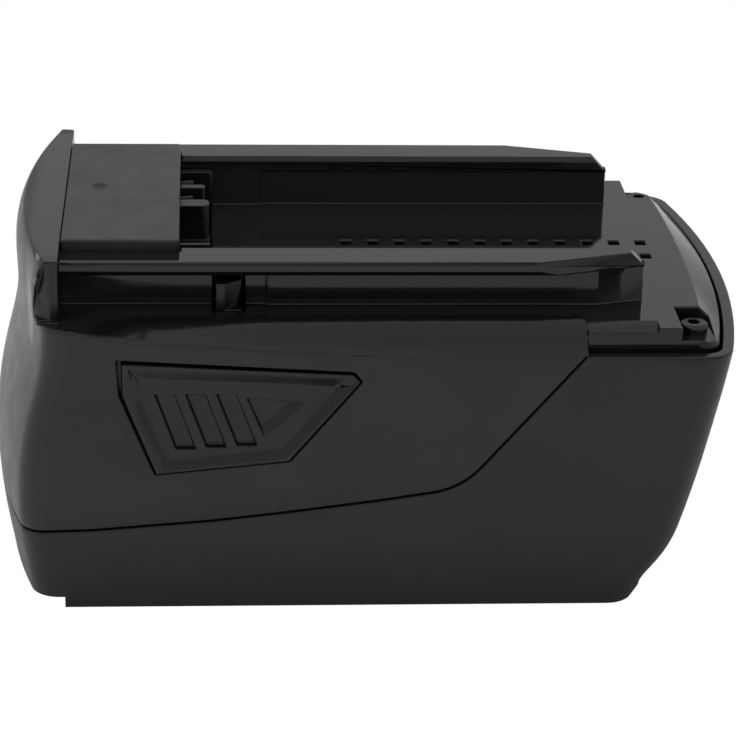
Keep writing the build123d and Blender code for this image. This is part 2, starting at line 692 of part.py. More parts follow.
# Cover over the contacts: drops onto seats in the rail tops
with BuildPart() as contact_cover:
    cover_y = (-COVER_HALF_WIDTH, COVER_HALF_WIDTH)
    add(block((COVER_REAR, COVER_FRONT), cover_y, (COVER_SEAT, COVER_TOP)))
    fillet(contact_cover.edges().filter_by(Axis.Z).group_by(Axis.X)[-1], COVER_CORNER)
    top_rim = contact_cover.faces().sort_by(Axis.Z)[-1].edges()
    fillet(top_rim.group_by(Axis.X)[1:], COVER_EDGE)
    for rib_x in COVER_RIBS:
        rib_y = (-COVER_RIB_HALF, COVER_RIB_HALF)
        rib_z = (BLOCK_TOP + BLOCK_PLAY, COVER_SEAT)
        add(block((rib_x, rib_x + COVER_RIB_THICKNESS), rib_y, rib_z))
    with Locations((DIMPLE_X, DIMPLE_Y, COVER_TOP + DIMPLE_BALL - DIMPLE_DEPTH)):
        Sphere(DIMPLE_BALL, mode=Mode.SUBTRACT)
save(contact_cover.part, "contact_cover")

# Terminal block: a moulded comb whose fins keep the tool's blades apart
with BuildPart() as terminal_block:
    body_y = (-BLOCK_HALF_WIDTH, BLOCK_HALF_WIDTH)
    flange_x = (BLOCK_REAR - BLOCK_TAIL, BLOCK_FRONT + BLOCK_FLANGE_MARGIN)
    flange_y = (-BLOCK_HALF_WIDTH - BLOCK_FLANGE_MARGIN, BLOCK_HALF_WIDTH + BLOCK_FLANGE_MARGIN)
    add(block((BLOCK_REAR, BLOCK_FRONT), body_y, (BLOCK_FLANGE_Z[0], BLOCK_FLOOR)))
    add(block(flange_x, flange_y, BLOCK_FLANGE_Z))
    add(block((BLOCK_REAR, BLOCK_REAR + BLOCK_BACK_WALL), body_y, (BLOCK_FLOOR, BLOCK_TOP)))
    for middle, half, front in FINS:
        with BuildSketch(Plane.XY.offset(BLOCK_FLOOR)) as fin:
            with Locations(((BLOCK_REAR + front) / 2, middle)):
                Rectangle(front - BLOCK_REAR, 2 * half)
            fillet(fin.vertices().group_by(Axis.X)[-1], FIN_ROUNDING * half)
        extrude(amount=BLOCK_TOP - BLOCK_FLOOR)
    for peg_x in PEG_X:
        for side in sides:
            add(upright(peg_x, side * PEG_Y, PEG_RADIUS, BOARD_TOP, BLOCK_FLANGE_Z[0]))
    for y in CONTACT_Y.values():
        half_x, half_y = (half + BLOCK_PLAY for half in CONTACT_TAIL)
        tail_x = (CONTACT_TAIL_X - half_x, CONTACT_TAIL_X + half_x)
        add(block(tail_x, (y - half_y, y + half_y), (BOARD_TOP, BLOCK_FLOOR)), mode=Mode.SUBTRACT)
save(terminal_block.part, "terminal_block")


def contact(y):
    """A fork of sprung copper: two leaves that close on the tool's blade, with a tail to the board."""
    with BuildPart() as shape:
        with BuildSketch(Plane((0, y, CONTACT_Z[0]))):
            for side in sides:
                with BuildLine():
                    Polyline(*[(x, side * reach) for x, reach in CONTACT_LEAF])
                trace(line_width=CONTACT_THICKNESS)
            with Locations((CONTACT_LEAF[0][0], 0)):
                Rectangle(CONTACT_THICKNESS, 2 * CONTACT_LEAF[0][1] + CONTACT_THICKNESS)
        extrude(amount=CONTACT_Z[1] - CONTACT_Z[0])
        half_x, half_y = CONTACT_TAIL
        tail_y = (y - half_y, y + half_y)
        foot_x = (CONTACT_LEAF[0][0], CONTACT_TAIL_X + half_x)
        add(block(foot_x, tail_y, (CONTACT_Z[0], CONTACT_Z[0] + CONTACT_THICKNESS)))
        tail_x = (CONTACT_TAIL_X - half_x, CONTACT_TAIL_X + half_x)
        add(block(tail_x, tail_y, (BOARD_TOP, CONTACT_Z[0])))
    return shape.part


for name, y in CONTACT_Y.items():
    save(contact(y), name)


def cell(x, z, plus_side):
    """A steel can with a groove near its plus end and a raised plus button."""
    with BuildPart() as shape:
        with BuildSketch(Plane.XY):
            with BuildLine():
                shoulder = CELL_HALF_LENGTH - CELL_NUB_HEIGHT
                set_back, groove_half, groove_depth = CELL_GROOVE
                groove = shoulder - set_back
                Polyline(
                    (0, -CELL_HALF_LENGTH),
                    (CELL_RADIUS - CELL_EDGE, -CELL_HALF_LENGTH),
                    (CELL_RADIUS, -CELL_HALF_LENGTH + CELL_EDGE),
                    (CELL_RADIUS, groove - groove_half),
                    (CELL_RADIUS - groove_depth, groove),
                    (CELL_RADIUS, groove + groove_half),
                    (CELL_RADIUS, shoulder - CELL_EDGE),
                    (CELL_RADIUS - CELL_EDGE, shoulder),
                    (CELL_NUB_RADIUS, shoulder),
                    (CELL_NUB_RADIUS, CELL_HALF_LENGTH),
                    (0, CELL_HALF_LENGTH),
                    close=True,
                )
            make_face()
        revolve(axis=Axis.Y)
    turned = shape.part if plus_side > 0 else shape.part.rotate(Axis.Z, 180)
    return turned.moved(Location((x, 0, z)))


for column, x in enumerate(cell_stations):
    for layer, z in enumerate(CELL_HEIGHTS):
        number = column * len(CELL_HEIGHTS) + layer + 1
        save(cell(x, z, 1 if column % 2 else -1), f"cell_{number:02d}")

# Cell holder, near side: a comb of round seats for the cell ends, with wells for the button springs
with BuildPart() as cell_holder_near:
    holder_face = CELL_HALF_LENGTH
    rear_corner, front_corner = HOLDER_CORNERS
    with BuildSketch(Plane.XZ.offset(holder_face - HOLDER_DEPTH)):
        with BuildLine():
            Polyline(
                (HOLDER_REAR + rear_corner, HOLDER_BOTTOM),
                (HOLDER_FRONT - front_corner, HOLDER_BOTTOM),
                (HOLDER_FRONT, HOLDER_BOTTOM + front_corner),
                (HOLDER_FRONT, HOLDER_TOP),
                (HOLDER_REAR, HOLDER_TOP),
                (HOLDER_REAR, HOLDER_BOTTOM + rear_corner),
                close=True,
            )
        make_face()
        for x in cell_stations:
            with Locations(*[(x, z) for z in CELL_HEIGHTS]):
                Circle(CELL_RADIUS + HOLDER_PLAY, mode=Mode.SUBTRACT)
    extrude(amount=HOLDER_DEPTH)
    with BuildSketch(Plane.XZ.offset(holder_face)):
        with Locations(*[(x, SPRING_Z) for x in SPRING_X]):
            Circle(SPRING_POCKET)
    extrude(amount=SPRING_SEAT - holder_face, mode=Mode.SUBTRACT)
    boss_radius, boss_foot, boss_shift = BOARD_BOSS
    for x in BOARD_SCREW_X:
        add(upright(x, -BOARD_SCREW_Y - boss_shift, boss_radius, boss_foot, BOARD_BOTTOM))
        add(upright(x, -BOARD_SCREW_Y, BOARD_SCREW_HOLE, boss_foot - 1, BOARD_TOP), mode=Mode.SUBTRACT)
save(cell_holder_near.part, "cell_holder_near")
save(mirror(cell_holder_near.part, about=Plane.XZ), "cell_holder_far")


def strip(side, first, last):
    """A welded strip over one or two columns of cells, with a tab that turns in under the board."""
    left = cell_stations[first] - STRIP_HALF_WIDTH
    right = cell_stations[last] + STRIP_HALF_WIDTH
    with BuildPart() as shape:
        with BuildSketch(Plane.XZ.offset(CELL_HALF_LENGTH)):
            with Locations(((left + right) / 2, (STRIP_Z[0] + BOARD_BOTTOM) / 2)):
                Rectangle(right - left, BOARD_BOTTOM - STRIP_Z[0])
            if last > first:
                with Locations(((left + right) / 2, sum(STRIP_WINDOW_Z) / 2)):
                    window_height = STRIP_WINDOW_Z[1] - STRIP_WINDOW_Z[0]
                    Rectangle(STRIP_WINDOW_LENGTH, window_height, mode=Mode.SUBTRACT)
            for x in cell_stations[first : last + 1]:
                with Locations(*[(x, z) for z in CELL_HEIGHTS]):
                    Rectangle(*STRIP_SLOT, mode=Mode.SUBTRACT)
        extrude(amount=STRIP_THICKNESS)
        tab_x = (cell_stations[first] - STRIP_TAB_HALF, cell_stations[first] + STRIP_TAB_HALF)
        tab_y = (-CELL_HALF_LENGTH, -STRIP_TAB_END)
        add(block(tab_x, tab_y, (HOLDER_TOP, BOARD_BOTTOM)))
        for x_range in ((left, tab_x[0]), (tab_x[1], right)):
            if x_range[1] > x_range[0]:
                outer_face = -CELL_HALF_LENGTH - STRIP_THICKNESS
                cut_y = (outer_face, -CELL_HALF_LENGTH)
                add(block(x_range, cut_y, (STRIP_Z[1], BOARD_BOTTOM)), mode=Mode.SUBTRACT)
        if side > 0:
            mirror(about=Plane.XZ, mode=Mode.REPLACE)
    return shape.part


for number, (first, last) in enumerate(((0, 0), (1, 2), (3, 4)), 1):
    save(strip(-1, first, last), f"busbar_near_{number}")
for number, (first, last) in enumerate(((0, 1), (2, 3), (4, 4)), 1):
    save(strip(1, first, last), f"busbar_far_{number}")

# Insulation sheet, near side: keeps the strips off the button, with holes for its springs
with BuildPart() as insulation_near:
    with BuildSketch(Plane.XZ.offset(SHEET_INNER)):
        with BuildLine():
            Polyline(
                (SHEET_X[0], SHEET_Z[0]),
                (SHEET_X[1] - SHEET_CORNER, SHEET_Z[0]),
                (SHEET_X[1], SHEET_Z[0] + SHEET_CORNER),
                (SHEET_X[1], SHEET_Z[1]),
                (SHEET_X[0], SHEET_Z[1]),
                close=True,
            )
        make_face()
        with Locations(*[(x, SPRING_Z) for x in SPRING_X]):
            Circle(SPRING_POCKET + SHEET_HOLE_MARGIN, mode=Mode.SUBTRACT)
    extrude(amount=SHEET_THICKNESS)
save(insulation_near.part, "insulation_near")
save(mirror(insulation_near.part, about=Plane.XZ), "insulation_far")

# Circuit board, on bosses of the two holders
with BuildPart() as circuit_board:
    with BuildSketch(Plane.XY.offset(BOARD_BOTTOM)):
        with Locations(((BOARD_REAR + BOARD_FRONT) / 2, 0)):
            RectangleRounded(BOARD_FRONT - BOARD_REAR, 2 * BOARD_HALF_WIDTH, BOARD_CORNER)
        with Locations(*[(x, side * BOARD_SCREW_Y) for x in BOARD_SCREW_X for side in sides]):
            Circle(BOARD_HOLE, mode=Mode.SUBTRACT)
    extrude(amount=BOARD_TOP - BOARD_BOTTOM)
save(circuit_board.part, "circuit_board")


def chips(name, size, places, round_edge=0.25):
    """One node of like parts that stand on the board."""
    with BuildPart() as shape:
        with BuildSketch(Plane.XY.offset(BOARD_TOP)):
            with Locations(*places):
                Rectangle(size[0], size[1])
        extrude(amount=size[2])
        chamfer(shape.faces().group_by(Axis.Z)[-1].edges(), round_edge)
    save(shape.part, name)


chips("power_switches", (6.2, 6.6, 2.2), [(-20.0 + 9.0 * i, 10.5) for i in range(4)])
chips("controller_chip", (9.0, 9.0, 1.4), [(-4.0, -8.0)])
chips("current_shunt", (6.4, 3.2, 0.9), [(-16.0, -2.0)])
chips("capacitors", (3.2, 1.6, 1.2), [(10.0 + 4.6 * (i % 4), -14.0 + 4.0 * (i // 4)) for i in range(12)])
chips("fuse", (9.0, 4.2, 1.8), [(24.0, 8.0)])
chips("charge_switch", (4.5, 3.5, 1.6), [(-20.0, -18.5)], 0.4)
chips("ribbon_socket", (4.0, 9.0, 1.4), [(-48.6, 0.0)])

# Board screws, one at each holder boss
with BuildPart() as board_screws:
    with BuildSketch(Plane.XY.offset(BOARD_TOP)):
        with Locations(*[(x, side * BOARD_SCREW_Y) for x in BOARD_SCREW_X for side in sides]):
            Circle(BOARD_SCREW_HEAD[0])
    extrude(amount=BOARD_SCREW_HEAD[1])
    with BuildSketch(Plane.XY.offset(BOARD_TOP)):
        with Locations(*[(x, side * BOARD_SCREW_Y) for x in BOARD_SCREW_X for side in sides]):
            Circle(BOARD_SCREW_SHANK[0])
    extrude(amount=-BOARD_SCREW_SHANK[1])
save(board_screws.part, "board_screws")

# Thermistor: a bead between two cells, its two leads up to the board
with BuildPart() as thermistor:
    bead_x = (cell_stations[2] + cell_stations[3]) / 2
    with Locations((bead_x, 0, BEAD_HEIGHT)):
        Sphere(BEAD_RADIUS)
    for side in sides:
        add(upright(bead_x, side * LEAD_Y, LEAD_RADIUS, BEAD_HEIGHT, BOARD_BOTTOM))
save(thermistor.part, "thermistor")

# Rear dampers: rubber blocks between the cell holders and the rear wall
with BuildPart() as rear_dampers:
    for side in sides:
        damper_y = sorted(side * y for y in DAMPER_Y)
        add(block((-FAR, HOLDER_REAR), damper_y, DAMPER_Z))
    add(lined, mode=Mode.INTERSECT)
save(rear_dampers.part, "rear_dampers")

# Flange of the lens, behind the rear wall
with BuildPart() as lens_flange:
    flange_y = LENS_HALF_LENGTH + LENS_FLANGE
    flange_z = (LENS_HEIGHT - LENS_HALF_HEIGHT - LENS_FLANGE, LENS_HEIGHT + LENS_HALF_HEIGHT + LENS_FLANGE)
    add(lined)
    add(block((-FAR, LENS_BACK), (-flange_y, flange_y), flange_z), mode=Mode.INTERSECT)

# Charge indicator: a smoked lens in the rear wall, lights and their board behind it
with BuildPart() as indicator_lens:
    window_y = LENS_HALF_LENGTH - LENS_PLAY
    window_z = LENS_HALF_HEIGHT - LENS_PLAY
    lens_z = (LENS_HEIGHT - window_z, LENS_HEIGHT + window_z)
    add(body_shape(LENS_RECESS))
    add(block((-FAR, LENS_BACK), (-window_y, window_y), lens_z), mode=Mode.INTERSECT)
    add(lens_flange.part)
save(indicator_lens.part, "indicator_lens")

with BuildPart() as indicator_lights:
    with BuildSketch(Plane.YZ.offset(LED_BOARD_X[0])):
        with Locations((0, LENS_HEIGHT)):
            with GridLocations(LED_SPACING, 1, LED_COUNT, 1):
                Rectangle(LED_SIZE[0], LED_SIZE[1])
    extrude(amount=-LED_SIZE[2])
save(indicator_lights.part, "indicator_lights")

with BuildPart() as indicator_board:
    with BuildSketch(Plane.YZ.offset(LED_BOARD_X[0])):
        with Locations((0, LENS_HEIGHT)):
            RectangleRounded(*LED_BOARD_SIZE)
    extrude(amount=LED_BOARD_X[1] - LED_BOARD_X[0])
save(indicator_board.part, "indicator_board")

# Ribbon: joins the indicator board to its socket on the circuit board
with BuildPart() as indicator_ribbon:
    with BuildSketch(Plane.XZ):
        ribbon_turn = (RIBBON_START[0], RIBBON_END[1])
        with BuildLine() as ribbon_path:
            FilletPolyline(RIBBON_START, ribbon_turn, RIBBON_END, radius=RIBBON_BEND)
        trace(ribbon_path.line, line_width=RIBBON_THICKNESS)
    extrude(amount=RIBBON_HALF_WIDTH, both=True)
save(indicator_ribbon.part, "indicator_ribbon")

# Release button, near side: a dished plate with grips, a flange behind the wall, and an arm with the hook
with BuildPart() as button_near:
    with BuildSketch(Plane.XZ.offset(BUTTON_BACK)):
        Polygon(*BUTTON_PLATE, align=None)
    extrude(amount=WIDE - BUTTON_BACK)
    add(outer, mode=Mode.INTERSECT)
    with BuildSketch(Plane.XZ.offset(BUTTON_DISH_DEPTH)):
        Polygon(*BUTTON_DISH, align=None)
    with BuildSketch(Plane.XZ.offset(BUTTON_FACE_DEPTH)):
        Polygon(*BUTTON_FACE, align=None)
    loft(ruled=True, mode=Mode.SUBTRACT)
    with BuildSketch(Plane.XZ.offset(BUTTON_FACE_DEPTH)):
        for i in range(GRIP_COUNT):
            left = GRIP_START[0] + GRIP_PITCH * i
            top, low = GRIP_START[1], GRIP_START[1] - GRIP_DROP + GRIP_SHORTENING * i
            with BuildLine():
                Polyline(
                    (left, top),
                    (left + GRIP_WIDTH, top),
                    (left + GRIP_WIDTH + GRIP_LEAN, low),
                    (left + GRIP_LEAN, low),
                    close=True,
                )
            make_face()
    extrude(amount=-GRIP_DEPTH, taper=GRIP_DRAFT, mode=Mode.SUBTRACT)
    with BuildSketch(Plane.XZ.offset(BUTTON_FACE_DEPTH)):
        Polygon(*GRIP_TRIANGLE, align=None)
    with BuildSketch(Plane.XZ.offset(BUTTON_FACE_DEPTH - GRIP_DEPTH)):
        Polygon(*GRIP_TRIANGLE_FLOOR, align=None)
    loft(ruled=True, mode=Mode.SUBTRACT)
    with BuildSketch(Plane.XZ.offset(BUTTON_BACK)):
        Polygon(*BUTTON_FLANGE, align=None)
        for x in SPRING_X:
            with Locations((x, SPRING_Z)):
                Circle(EAR_RADIUS)
            with Locations((x, SPRING_Z + EAR_HEIGHT / 2)):
                Rectangle(2 * EAR_RADIUS, EAR_HEIGHT)
    extrude(amount=BUTTON_FLANGE_FRONT - BUTTON_BACK)
    with BuildSketch(Plane.XZ.offset(BUTTON_BACK)):
        with Locations(*[(x, SPRING_Z) for x in SPRING_X]):
            Circle(SPIGOT_RADIUS)
    extrude(amount=-SPIGOT_LENGTH)
    with BuildSketch(Plane.YZ.offset(HOOK_REAR)):
        with BuildLine():
            Polyline(*ARM_PROFILE, close=True)
        make_face()
    extrude(amount=HOOK_FRONT - HOOK_REAR)
    with BuildSketch(Plane.XY.offset(HOOK_RAMP_FOOT)):
        ramp_foot = (HOOK_FRONT, -HOOK_IN - HOOK_POINT)
        Polygon((HOOK_FRONT - HOOK_RAMP, -HOOK_OUT), ramp_foot, (HOOK_FRONT, -HOOK_OUT), align=None)
    extrude(amount=HOOK_TOP - HOOK_RAMP_FOOT, mode=Mode.SUBTRACT)
save(button_near.part, "release_button_near")
save(mirror(button_near.part, about=Plane.XZ), "release_button_far")


def coil(x):
    """A compression spring as one unbroken wire, from its well in the holder to the button."""
    length = BUTTON_BACK - SPRING_SEAT - SPRING_WIRE
    with BuildPart() as shape:
        with BuildLine() as path:
            Helix(length / SPRING_TURNS, length, SPRING_RADIUS)
        with BuildSketch(Plane(path.line @ 0, z_dir=path.line % 0)):
            Circle(SPRING_WIRE / 2)
        sweep()
    base = Location((x, -SPRING_SEAT - SPRING_WIRE / 2, SPRING_Z), (90, 0, 0))
    return shape.part.moved(base)


for x, place in zip(SPRING_X, ("rear", "front")):
    save(coil(x), f"button_spring_near_{place}")
    save(mirror(coil(x), about=Plane.XZ), f"button_spring_far_{place}")


def screw(x, y, seat, head_up, length):
    """A pan-head housing screw with a star recess."""
    way = 1 if head_up else -1
    with BuildPart() as shape:
        with BuildSketch(Plane.XY.offset(seat)):
            with Locations((x, y)):
                Circle(SCREW_HEAD)
        extrude(amount=way * SCREW_HEAD_HEIGHT)
        rim = shape.faces().sort_by(Axis.Z)[-1 if head_up else 0]
        fillet(rim.edges(), SCREW_HEAD_EDGE)
        with BuildSketch(Plane.XY.offset(seat)):
            with Locations((x, y)):
                Circle(SCREW_SHANK - THREAD_PLAY)
        extrude(amount=-way * length)
        with BuildSketch(Plane.XY.offset(seat + way * SCREW_HEAD_HEIGHT)):
            with Locations((x, y)):
                RegularPolygon(STAR_RADIUS, 6)
                RegularPolygon(STAR_WAIST, 6, rotation=30)
        extrude(amount=-way * STAR_DEPTH, mode=Mode.SUBTRACT)
    return shape.part


# Housing screws: two down through the nose pockets, two up through the heel
with BuildPart() as housing_screws:
    for side in sides:
        add(screw(NOSE_SCREW[0], side * NOSE_SCREW[1], NOSE_SCREW_SEAT, True, NOSE_SCREW_LENGTH))
        add(screw(HEEL_SCREW[0], side * HEEL_SCREW[1], HEEL_SCREW_SEAT, False, HEEL_SCREW_LENGTH))
save(housing_screws.part, "housing_screws")
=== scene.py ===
from math import cos, radians, sin

import bmesh
import bpy
from mathutils import Matrix, Vector


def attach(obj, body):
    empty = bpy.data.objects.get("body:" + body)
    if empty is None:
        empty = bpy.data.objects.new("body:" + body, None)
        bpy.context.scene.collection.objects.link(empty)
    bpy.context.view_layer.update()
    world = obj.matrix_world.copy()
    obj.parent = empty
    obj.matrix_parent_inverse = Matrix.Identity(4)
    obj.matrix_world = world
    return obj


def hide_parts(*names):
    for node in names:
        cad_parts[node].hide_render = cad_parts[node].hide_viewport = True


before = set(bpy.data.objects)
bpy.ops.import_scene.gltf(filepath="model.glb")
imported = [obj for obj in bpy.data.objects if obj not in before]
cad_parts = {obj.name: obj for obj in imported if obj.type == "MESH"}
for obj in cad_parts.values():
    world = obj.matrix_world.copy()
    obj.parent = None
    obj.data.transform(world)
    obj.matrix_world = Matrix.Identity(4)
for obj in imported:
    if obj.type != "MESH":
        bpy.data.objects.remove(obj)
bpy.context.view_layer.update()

# Lower housing
# The tub of the pack, moulded in black ABS with a fine spark-eroded grain on its sides.
# Its nose end rises to a rim round the deck; four screws hold it to the upper housing.
MM = 0.001
WELD = 0.002 * MM
FLATNESS = 0.3
UPRIGHT = 0.99
SQUARE = 0.99999
CREASE = 28.0
SLOPE_START = 52 * MM
SLOPE_TILT = (0.6, 0.995)
CLOUD = 14 * MM
PATCH = 5 * MM
GLOSS_CHANGE = 0.12
POLISHED_RELIEF = 0.12
HOUSING_COLOUR = (0.0042, 0.0044, 0.0042)
HOUSING_ROUGHNESS = 0.36
HOUSING_EDGE = 0.3 * MM
FOOT_BAND = 3 * MM
RIM_GLOSS = 0.16
RIM_LEVEL = ("Z", False, 46.1, 46.5)


def on_slope(face):
    """Whether a face is on the slope that runs from the deck down to the nose rim."""
    tilted = SLOPE_TILT[0] < face.normal.z < SLOPE_TILT[1]
    return tilted and face.calc_center_median().x > SLOPE_START


def softened(node, name, edge, lowest=-1.0):
    """A moulding's own mesh with its corners rounded by edge metres.

    The loose triangles are merged, and joined where they lie in one upright plane. Every edge
    above lowest that turns by more than CREASE degrees is marked for the bevel. Faces square to
    an axis are kept flat, and the slope at the nose is shaded apart from the deck.
    """
    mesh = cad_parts[node].data.copy()
    mesh.name = name
    work = bmesh.new()
    work.from_mesh(mesh)
    bmesh.ops.remove_doubles(work, verts=work.verts, dist=WELD)
    upright = []
    for line in work.edges:
        if all(abs(side.normal.z) < UPRIGHT for side in line.link_faces):
            upright.append(line)
    bmesh.ops.dissolve_limit(work, angle_limit=radians(FLATNESS), verts=work.verts, edges=upright)
    marks = work.edges.layers.float.new("bevel_weight_edge")
    for line in work.edges:
        if len(line.link_faces) != 2 or min(end.co.z for end in line.verts) < lowest:
            continue
        if line.calc_face_angle(0.0) > radians(CREASE):
            line[marks] = 1.0
    slope = {face for face in work.faces if on_slope(face)}
    for face in work.faces:
        face.smooth = max(abs(part) for part in face.normal) < SQUARE
    for line in work.edges:
        if len({side in slope for side in line.link_faces}) == 2:
            line.smooth = False
    work.to_mesh(mesh)
    work.free()
    piece = bpy.data.objects.new(name, mesh)
    bpy.context.scene.collection.objects.link(piece)
    rounding = piece.modifiers.new("rounding", "BEVEL")
    rounding.width = edge
    rounding.segments = 2
    rounding.limit_method = "WEIGHT"
    rounding.use_clamp_overlap = False
    rounding.harden_normals = True
    return piece


def nodes_of(name):
    """A new material, its node tree, its shader and a texture coordinate node."""
    material = bpy.data.materials.new(name)
    material.use_nodes = True
    tree = material.node_tree
    shader = tree.nodes["Principled BSDF"]
    place = tree.nodes.new("ShaderNodeTexCoord")
    return material, tree, shader, place


def grain(tree, place, size, detail=2.0, stretch=(1.0, 1.0, 1.0)):
    """Noise whose lumps are about size metres across, stretched along the object's axes."""
    mapping = tree.nodes.new("ShaderNodeMapping")
    mapping.inputs["Scale"].default_value = stretch
    tree.links.new(place.outputs["Object"], mapping.inputs["Vector"])
    noise = tree.nodes.new("ShaderNodeTexNoise")
    noise.inputs["Scale"].default_value = 1.0 / size
    noise.inputs["Detail"].default_value = detail
    tree.links.new(mapping.outputs["Vector"], noise.inputs["Vector"])
    return noise.outputs["Fac"]


def spread(tree, value, low, high, start=0.3, end=0.7):
    """Turns a value between start and end into a number between low and high."""
    ramp = tree.nodes.new("ShaderNodeMapRange")
    ramp.inputs["From Min"].default_value = start
    ramp.inputs["From Max"].default_value = end
    ramp.inputs["To Min"].default_value = low
    ramp.inputs["To Max"].default_value = high
    tree.links.new(value, ramp.inputs["Value"])
    return ramp.outputs["Result"]


def moulded(name, colour, rough, pit=0.28 * MM, depth=0.006 * MM, tint=0.25):
    """Moulded plastic: a fine pitted grain, a slow change of gloss, and slightly uneven pigment."""
    material, tree, shader, place = nodes_of(name)
    cloud = grain(tree, place, CLOUD, 3.0)
    fine = grain(tree, place, pit, 2.0)
    blend = tree.nodes.new("ShaderNodeMix")
    blend.data_type = "RGBA"
    tree.links.new(spread(tree, cloud, 0.0, 1.0), blend.inputs["Factor"])
    blend.inputs["A"].default_value = (*[c * (1 - tint) for c in colour], 1)
    blend.inputs["B"].default_value = (*[c * (1 + tint) for c in colour], 1)
    tree.links.new(blend.outputs["Result"], shader.inputs["Base Color"])
    patches = grain(tree, place, PATCH, 4.0)
    uneven = spread(tree, patches, rough * (1 - GLOSS_CHANGE), rough * (1 + GLOSS_CHANGE))
    tree.links.new(uneven, shader.inputs["Roughness"])
    bump = tree.nodes.new("ShaderNodeBump")
    bump.inputs["Strength"].default_value = 1.0
    bump.inputs["Distance"].default_value = depth
    tree.links.new(fine, bump.inputs["Height"])
    tree.links.new(bump.outputs["Normal"], shader.inputs["Normal"])
    return material


def share_inside(tree, limits):
    """How far a point is inside every limit, from 0 to 1.

    Each limit is (axis, whether it is the distance from the middle, start, full) in millimetres.
    """
    split = tree.nodes.new("ShaderNodeSeparateXYZ")
    tree.links.new(tree.nodes["Texture Coordinate"].outputs["Object"], split.inputs["Vector"])
    share = None
    for axis, from_middle, start, full in limits:
        value = split.outputs[axis]
        if from_middle:
            away = tree.nodes.new("ShaderNodeMath")
            away.operation = "ABSOLUTE"
            tree.links.new(value, away.inputs[0])
            value = away.outputs["Value"]
        held = spread(tree, value, 0.0, 1.0, start * MM, full * MM)
        if share is not None:
            both = tree.nodes.new("ShaderNodeMath")
            both.operation = "MULTIPLY"
            tree.links.new(share, both.inputs[0])
            tree.links.new(held, both.inputs[1])
            held = both.outputs["Value"]
        share = held
    return share


def polished(material, gloss, colour, limits):
    """Makes the surface smooth and gives it the given colour where every limit holds; on the deck
    and shoulders that colour is darker than the moulding's own, as painted shade.
    """
    tree = material.node_tree
    share = share_inside(tree, limits)
    shader = tree.nodes["Principled BSDF"]
    for socket, kind, value in (
        (shader.inputs["Roughness"], "FLOAT", gloss),
        (shader.inputs["Base Color"], "RGBA", (*colour, 1)),
        (tree.nodes["Bump"].inputs["Strength"], "FLOAT", POLISHED_RELIEF),
    ):
        change = tree.nodes.new("ShaderNodeMix")
        change.data_type = kind
        first = [i for i in change.inputs if i.name == "A" and i.enabled][0]
        second = [i for i in change.inputs if i.name == "B" and i.enabled][0]
        result = [o for o in change.outputs if o.enabled][0]
        tree.links.new(share, change.inputs["Factor"])
        if socket.is_linked:
            tree.links.new(socket.links[0].from_socket, first)
        else:
            first.default_value = socket.default_value
        second.default_value = value
        tree.links.new(result, socket)


def dress(piece, material):
    """Gives a piece one material and no other."""
    piece.data.materials.clear()
    piece.data.materials.append(material)


tub_plastic = moulded("tub_plastic", HOUSING_COLOUR, HOUSING_ROUGHNESS)
polished(tub_plastic, RIM_GLOSS, HOUSING_COLOUR, (RIM_LEVEL,))
lower_shell = softened("lower_housing", "lower_shell", HOUSING_EDGE, FOOT_BAND)
dress(lower_shell, tub_plastic)
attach(lower_shell, "root")
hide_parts("lower_housing")

# Upper housing
# Cheeks, shoulders, deck, end plate and rails, in one moulding of the same black ABS.
# Its deck is polished, so it mirrors the rails; the cheeks have the grain of the tub. The deck and
# the shoulders are painted darker than the cheeks, as painted shade.
CHEEK_COLOUR = (0.0066, 0.0068, 0.0067)
CHEEK_ROUGHNESS = 0.34
DECK_COLOUR_WITH_PAINTED_SHADE = (0.0056, 0.006, 0.0058)
DECK_GLOSS = 0.08
SHOULDER_GLOSS = 0.12
ABOVE_CHEEKS = ("Z", False, 45.2, 46.6)
ACROSS_RAILS = ("Y", True, 31.6, 30.6)
AHEAD_OF_REAR = ("X", False, -58.0, -56.6)
AHEAD_OF_CHEEKS = ("X", False, 34.9, 35.3)
BEHIND_NOSE = ("X", False, 58.6, 57.4)
SHOULDER_GLOSS_AND_PAINTED_SHADE = (
    ("Z", False, 46.1, 46.6),
    ("Y", True, 30.4, 31.4),
    ("Y", True, 38.7, 37.9),
    ("X", False, -52.8, -52.2),
    ("X", False, 35.3, 34.9),
)
upper_plastic = moulded("upper_plastic", CHEEK_COLOUR, CHEEK_ROUGHNESS)
# The deck is painted a darker colour than the cheeks of the same moulding: painted shade.
polished(upper_plastic, DECK_GLOSS, DECK_COLOUR_WITH_PAINTED_SHADE, (ABOVE_CHEEKS, ACROSS_RAILS, AHEAD_OF_REAR))
polished(upper_plastic, DECK_GLOSS, DECK_COLOUR_WITH_PAINTED_SHADE, (ABOVE_CHEEKS, AHEAD_OF_CHEEKS, BEHIND_NOSE))
# The shoulders get their real gloss and the tub's darker colour instead of the cheeks' colour:
# painted shade.
polished(upper_plastic, SHOULDER_GLOSS, HOUSING_COLOUR, SHOULDER_GLOSS_AND_PAINTED_SHADE)
upper_shell = softened("upper_housing", "upper_shell", HOUSING_EDGE)
dress(upper_shell, upper_plastic)
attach(upper_shell, "root")
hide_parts("upper_housing")

# Contact cover
# A separate plate of greyer plastic that drops onto the rails over the contacts.
COVER_COLOUR = (0.0125, 0.0145, 0.0138)
COVER_ROUGHNESS = 0.36
COVER_EDGE = 0.25 * MM
cover_plastic = moulded("cover_plastic", COVER_COLOUR, COVER_ROUGHNESS)
cover = softened("contact_cover", "cover_plate", COVER_EDGE)
dress(cover, cover_plastic)
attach(cover, "root")
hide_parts("contact_cover")

